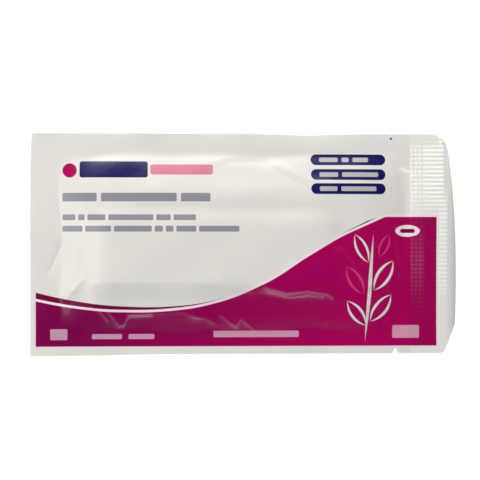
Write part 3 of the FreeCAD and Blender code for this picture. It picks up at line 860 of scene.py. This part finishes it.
def printed_colour(tree, place, stretch_highlight):
    """The print, from the film up: film painted pale (stretch whitening and painted highlight), field and
    lines, then bars, discs and leaves over it, and a painted shadow in the tear slit's end.
    """
    bar = bar_group()
    oval = oval_group()
    leaf = leaf_group()

    def bar_mask(centre, half_size, corner=None):
        inputs = {
            "Place": place,
            "Centre": (*centre, 0.0),
            "Half Size": (*half_size, 0.0),
            "Corner": min(half_size) if corner is None else corner,
        }
        return add_node(tree, "ShaderNodeGroup", inputs, node_tree=bar).outputs["Mask"]

    def oval_mask(centre, half_size):
        inputs = {"Place": place, "Centre": (*centre, 0.0), "Half Size": (*half_size, 1.0)}
        return add_node(tree, "ShaderNodeGroup", inputs, node_tree=oval).outputs["Mask"]

    field_middle = (FIELD_LEFT + FIELD_RIGHT) / 2
    field_half = (FIELD_RIGHT - FIELD_LEFT) / 2
    box = bar_mask((field_middle, 0.0), (field_half, -FIELD_LOW), FIELD_CORNER)
    along, field, pale, dark, thin = field_masks(tree, place, box)
    misprint = bar_mask((field_middle, FIELD_LOW), (field_half, MISPRINT), MISPRINT_CORNER)
    mottle = add_node(tree, "ShaderNodeTexNoise", {"Vector": place, "Scale": MOTTLE_SCALE, "Detail": 4.0})
    # Painted highlight: the film is painted paler on the crimp and along fine creases, palest on the dot
    # tops and ridges
    colour = over(tree, FILM_WHITE, stretch_highlight, PRESSED_WHITE_HIGHLIGHT)
    colour = over(tree, colour, misprint, PALE_ROSE, MISPRINT_INK)
    colour = over(tree, colour, dark, DEEP_MAGENTA)
    colour = over(tree, colour, thin, THIN_LINE_GREY)
    colour = over(tree, colour, pale, PALE_EDGE)
    magenta = over(tree, MAGENTA_LEFT, ramp(tree, along, FADE_START, FADE_END), MAGENTA_RIGHT)
    uneven = ramp(tree, mottle.outputs[0], MOTTLE_START, MOTTLE_END)
    magenta = over(tree, magenta, uneven, ROSE, MOTTLE)
    in_crimp = ramp(tree, along, crimp_start - PRESSED_FADE, crimp_start + PRESSED_FADE)
    magenta = over(tree, magenta, in_crimp, DEEP_MAGENTA, PRESSED_DARK)
    # Painted highlight on the ink too: paler where the film is painted palest, for cracked ink and for
    # light caught on dots and creases
    cracked_and_highlit = maths(tree, "POWER", stretch_highlight, CRACK_HIGHLIGHT_POWER)
    magenta = over(tree, magenta, cracked_and_highlit, PALE_ROSE, PRESSED_INK_HIGHLIGHT)
    colour = over(tree, colour, field, magenta)

    def lay_bars(colour, left, height, half_height, gap, lengths, ink, strength):
        for length in lengths:
            mask = bar_mask((left + length / 2, height), (length / 2, half_height), LINE_CORNER)
            colour = over(tree, colour, mask, ink, strength)
            left += length + gap
        return colour

    for centre, lengths in zip(PILLS, PILL_BARS):
        colour = over(tree, colour, bar_mask(centre, PILL_HALF), NAVY)
        colour = lay_bars(
            colour, PILL_BARS_LEFT, centre[1], PILL_BAR_HALF, PILL_BAR_GAP, lengths, FILM_WHITE,
            PILL_BAR_INK,
        )
    colour = over(tree, colour, bar_mask(DISC, DISC_HALF), MAGENTA_RIGHT)
    colour = over(tree, colour, bar_mask(*HEADING_NAVY, HEADING_CORNER), NAVY)
    colour = over(tree, colour, bar_mask(*HEADING_ROSE, HEADING_CORNER), ROSE, HEADING_ROSE_INK)
    for height, half_height, gap, lengths in BROKEN_LINES:
        colour = lay_bars(colour, LINES_LEFT, height, half_height, gap, lengths, SLATE, LINE_INK)
    for centre, half_size in FIELD_BARS:
        mask = bar_mask(centre, half_size, FIELD_BAR_CORNER)
        colour = over(tree, colour, mask, PALE_ROSE, FIELD_BAR_INK)
    colour = over(tree, colour, oval_mask(BADGE, BADGE_HALF), PALE_EDGE)
    colour = over(tree, colour, bar_mask(BADGE, BADGE_BAR_HALF), DEEP_MAGENTA)
    for centre, turn, leaf_length, leaf_width, stroke, ink in LEAVES:
        inputs = {
            "Place": place,
            "Centre": (*centre, 0.0),
            "Turn": math.radians(turn),
            "Half Length": leaf_length,
            "Half Width": leaf_width,
            "Stroke": stroke,
        }
        mask = add_node(tree, "ShaderNodeGroup", inputs, node_tree=leaf).outputs["Mask"]
        colour = over(tree, colour, mask, FILM_WHITE if ink == "white" else ROSE)
    # A painted shadow: a dark grey disc where the tear slit ends
    return over(tree, colour, bar_mask(SLIT_SHADOW, SLIT_SHADOW_HALF), SLIT_SHADOW_GREY)


def film_material(name, colour, printed, relief):
    """Glossy laminated film, white or printed."""
    material = bpy.data.materials.new(name)
    material.use_nodes = True
    tree = material.node_tree
    shader = tree.nodes["Principled BSDF"]
    shader.inputs["Roughness"].default_value = 0.30
    shader.inputs["Specular IOR Level"].default_value = 0.26
    shader.inputs["Coat Weight"].default_value = 0.15
    shader.inputs["Coat Roughness"].default_value = 0.12
    place = scaled_place(tree)
    if printed:
        stretch_highlight = add_node(tree, "ShaderNodeAttribute", attribute_name="stretch_highlight").outputs["Fac"]
        tree.links.new(printed_colour(tree, place, stretch_highlight), shader.inputs["Base Color"])
    else:
        shader.inputs["Base Color"].default_value = colour
    height = add_node(tree, "ShaderNodeGroup", node_tree=relief)
    tree.links.new(place, height.inputs["Place"])
    inputs = {"Strength": 1.0, "Distance": RELIEF_DEPTH * MM, "Height": height.outputs["Height"]}
    bump = add_node(tree, "ShaderNodeBump", inputs)
    tree.links.new(bump.outputs["Normal"], shader.inputs["Normal"])
    return material


# Studio


def seen_rays(tree):
    """1 for rays from the camera, off gloss and through glass, which see a white backdrop."""
    path = add_node(tree, "ShaderNodeLightPath")
    seen = maths(tree, "MAXIMUM", path.outputs["Is Camera Ray"], path.outputs["Is Glossy Ray"])
    return maths(tree, "MAXIMUM", seen, path.outputs["Is Transmission Ray"])


FLOOR_GLOW = 0.78  # near the pouch, where the lamps light the floor too
FAR_GLOW = 0.94
NEAR = 0.25  # metres from the pouch where the glow starts to rise, and where it is full
FAR = 1.2
FLOOR_REACH = 3000.0
FLOOR_GAP = 0.02  # how far it lies beneath the pouch


def studio_floor():
    """A plain white floor that takes the pouch's shadow, and glows white where it is seen."""
    corners = ((-1, -1), (1, -1), (1, 1), (-1, 1))
    points = np.array([(x * FLOOR_REACH, y * FLOOR_REACH, -FLOOR_GAP) for x, y in corners])
    floor = new_mesh("floor", points, [(0, 1, 2, 3)])
    material = bpy.data.materials.new("floor_white")
    material.use_nodes = True
    tree = material.node_tree
    tree.nodes.clear()
    diffuse = add_node(tree, "ShaderNodeBsdfDiffuse", {"Color": (0.8, 0.8, 0.8, 1.0)})
    place = add_node(tree, "ShaderNodeTexCoord").outputs["Object"]
    away = vector_maths(tree, "LENGTH", place, output="Value")
    level = maths(tree, "MULTIPLY_ADD", ramp(tree, away, NEAR, FAR), FAR_GLOW - FLOOR_GLOW, FLOOR_GLOW)
    strength = maths(tree, "MULTIPLY", seen_rays(tree), level)
    glow = add_node(tree, "ShaderNodeEmission", {"Strength": strength})
    both = add_node(tree, "ShaderNodeAddShader", {0: diffuse.outputs[0], 1: glow.outputs[0]})
    output = tree.nodes.new("ShaderNodeOutputMaterial")
    tree.links.new(both.outputs[0], output.inputs["Surface"])
    floor.data.materials.append(material)
    return floor


LOW_LIGHT = 0.36
CEILING_LIGHT = 0.015
# Heights of a direction, as its sine: the low light fades out between the first two, and the white
# backdrop between the others
LOW_LIGHT_FULL = 0.30
LOW_LIGHT_END = 0.80
BACKDROP_FULL = 0.15
BACKDROP_END = 0.30
LOW_TINT = (0.95, 1.0, 1.0, 1.0)  # the low light is a little cold
WHITE = (1.0, 1.0, 1.0, 1.0)


def studio_world():
    """Soft light from low all round, under a dim ceiling; the low part is seen and mirrored as white."""
    world = bpy.data.worlds.new("studio")
    bpy.context.scene.world = world
    world.use_nodes = True
    tree = world.node_tree
    tree.nodes.clear()
    direction = add_node(tree, "ShaderNodeTexCoord").outputs["Generated"]
    upward = add_node(tree, "ShaderNodeSeparateXYZ", {0: direction}).outputs["Z"]
    low = ramp(tree, upward, LOW_LIGHT_END, LOW_LIGHT_FULL)
    level = maths(tree, "MULTIPLY_ADD", low, LOW_LIGHT, CEILING_LIGHT)
    height = ramp(tree, upward, BACKDROP_END, BACKDROP_FULL)
    backdrop = maths(tree, "MULTIPLY", height, seen_rays(tree))
    strength = add_node(tree, "ShaderNodeMix", {"Factor": backdrop, "A": level, "B": 1.0})
    tint = over(tree, LOW_TINT, backdrop, WHITE)
    inputs = {"Color": tint, "Strength": strength.outputs[0]}
    background = add_node(tree, "ShaderNodeBackground", inputs)
    output = tree.nodes.new("ShaderNodeOutputWorld")
    tree.links.new(background.outputs[0], output.inputs["Surface"])


# Lamps: name, place, target, side length, power, colour
LAMPS = (
    ("key", (-280.0, 590.0, 420.0), (0.0, 0.0, 0.0), 500.0, 5.3, (1.0, 0.96, 0.93)),
    ("strip", (120.0, 520.0, 330.0), (0.0, 0.0, 0.0), 280.0, 1.0, (1.0, 1.0, 1.0)),
    ("side", (-440.0, -90.0, 480.0), (-30.0, 0.0, 0.0), 240.0, 0.8, (1.0, 0.97, 0.94)),
    ("fill", (60.0, -770.0, 260.0), (0.0, 0.0, 0.0), 500.0, 3.1, (0.87, 0.96, 1.0)),
)


def area_lamp(name, place, target, extent, power, colour):
    """A square soft lamp at a place, turned towards a target, both in millimetres."""
    lamp = bpy.data.lights.new(name, "AREA")
    lamp.shape = "SQUARE"
    lamp.size = extent * MM
    lamp.energy = power
    lamp.color = colour
    holder = bpy.data.objects.new(name, lamp)
    holder.location = np.array(place) * MM
    aim = Vector(target) - Vector(place)
    holder.rotation_euler = aim.to_track_quat("-Z", "Y").to_euler()
    bpy.context.scene.collection.objects.link(holder)


CAMERA_DISTANCE = 450.0
VIEW_WIDTH = 141.4  # millimetres across the picture, at the pouch
CAMERA_LEAN = 2.6  # degrees towards the factory seal, which looks a little nearer
CAMERA_TARGET = (-1.4, 1.1, 3.0)


def photo_camera():
    """Straight down on the pouch, leaning a little to the left."""
    camera = bpy.data.cameras.new("photo_camera")
    camera.sensor_width = 36.0
    camera.lens = camera.sensor_width * CAMERA_DISTANCE / VIEW_WIDTH
    camera.clip_start = 0.01
    camera.clip_end = 20.0
    holder = bpy.data.objects.new("photo_camera", camera)
    lean = math.radians(CAMERA_LEAN)
    offset = np.array((-math.sin(lean), 0.0, math.cos(lean))) * CAMERA_DISTANCE
    holder.location = (np.array(CAMERA_TARGET) + offset) * MM
    holder.rotation_euler = (0.0, -lean, 0.0)
    bpy.context.scene.collection.objects.link(holder)
    bpy.context.scene.camera = holder


# Assembly

pouch = printed_pouch()
relief = film_relief_group()
pouch.data.materials.append(film_material("printed_film", FILM_WHITE, True, relief))
pouch.data.materials.append(film_material("plain_film", FILM_WHITE, False, relief))
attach(pouch, "root")
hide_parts("foil_pouch")

studio_floor()
studio_world()
for lamp in LAMPS:
    area_lamp(*lamp)
photo_camera()
bpy.context.scene.view_settings.view_transform = "Standard"
